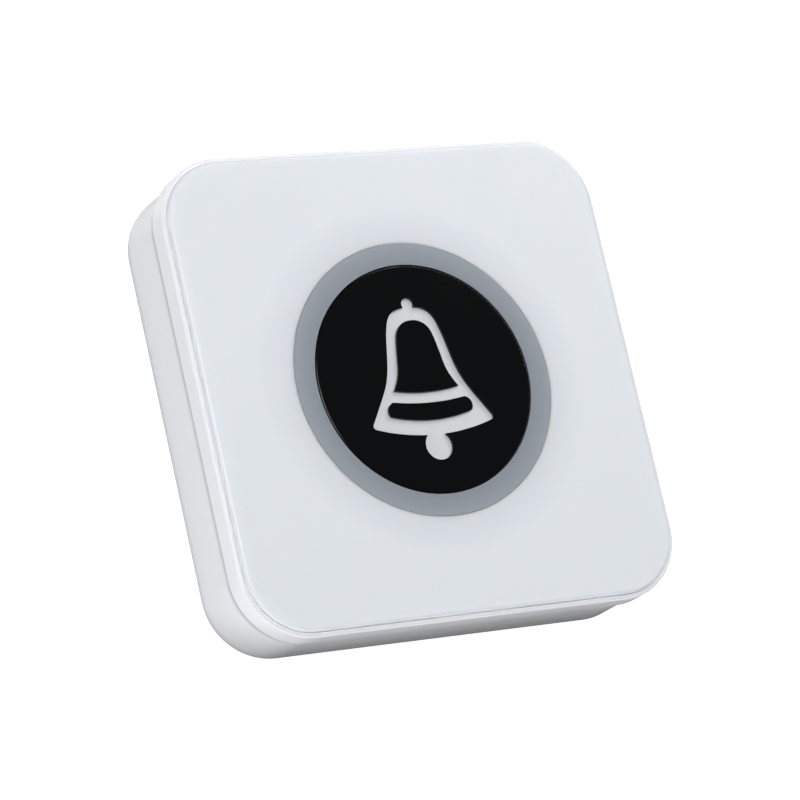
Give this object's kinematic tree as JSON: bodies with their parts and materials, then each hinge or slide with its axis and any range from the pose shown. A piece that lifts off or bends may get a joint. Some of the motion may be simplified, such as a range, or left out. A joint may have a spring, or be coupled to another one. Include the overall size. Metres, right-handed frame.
{
  "type": "waiter call button",
  "caption": "Low square counter call button with a round push cap, a bell sign, a light ring flush round it and a sliding battery door in the back.",
  "frame": {"origin": "middle of the flat back, which lies on the counter or against the wall", "axes": "+Z out of the face, +Y to the top of the bell sign, +X to the right seen from the front"},
  "size_m": [0.07, 0.07, 0.0175],
  "materials": {
    "white_plastic": "smooth, slightly milky",
    "face_plastic": "smooth, milky",
    "reflector_plastic": "matt white",
    "ring_plastic": "smoky grey, translucent",
    "black_plastic": "smooth",
    "bell_plastic": "satin grey",
    "silicone": "matt, milky",
    "gasket_rubber": "matt",
    "led_body": "white body, yellow lens",
    "switch_plastic": "matt",
    "plunger_plastic": "matt",
    "plated_steel": "bright",
    "tinned": "bright tin",
    "board": "green solder mask",
    "chip_plastic": "matt",
    "ceramic": "matt",
    "resistor_body": "satin",
    "coil_wire": "enamelled copper",
    "cell_wrap": "foil wrap over a steel can",
    "screw_steel": "zinc plated"
  },
  "bodies": {
    "casing": {"front_cover": "white_plastic", "face_plate": "face_plastic", "rear_housing": "white_plastic", "housing_gasket": "gasket_rubber", "light_ring": "ring_plastic", "reflector_ring": "reflector_plastic", "return_pad": "silicone", "ring_leds": "led_body", "switch_base": "switch_plastic", "switch_cover": "plated_steel", "switch_dome": "plated_steel", "switch_terminals": "tinned", "circuit_board": "board", "encoder_chip": "chip_plastic", "saw_resonator": "plated_steel", "transistors": "chip_plastic", "antenna_coil": "coil_wire", "resistors": "resistor_body", "capacitors": "ceramic", "battery": "cell_wrap", "battery_positive_contact": "plated_steel", "battery_negative_plate": "plated_steel", "battery_spring": "plated_steel", "case_screws": "screw_steel", "board_screws": "screw_steel"},
    "button": {"button_cap": "black_plastic", "bell_inlay": "bell_plastic"},
    "plunger": {"switch_plunger": "plunger_plastic"},
    "door": {"battery_door": "white_plastic"}
  },
  "joints": [
    {"name": "button_press", "type": "slide", "parent": "casing", "child": "button", "axis": [0, 0, -1], "range_m": [0, 0.0005], "stiffness_N_per_m": 3000, "springref_m": -0.0002, "deforming": ["return_pad"]},
    {"name": "plunger_press", "type": "slide", "parent": "casing", "child": "plunger", "axis": [0, 0, -1], "range_m": [0, 0.0005], "deforming": ["switch_dome"]},
    {"name": "door_slide", "type": "slide", "parent": "casing", "child": "door", "axis": [1, 0, 0], "range_m": [0, 0.004]}
  ],
  "couplings": [
    {"joint": "plunger_press", "follows": "button_press", "ratio": 1}
  ]
}
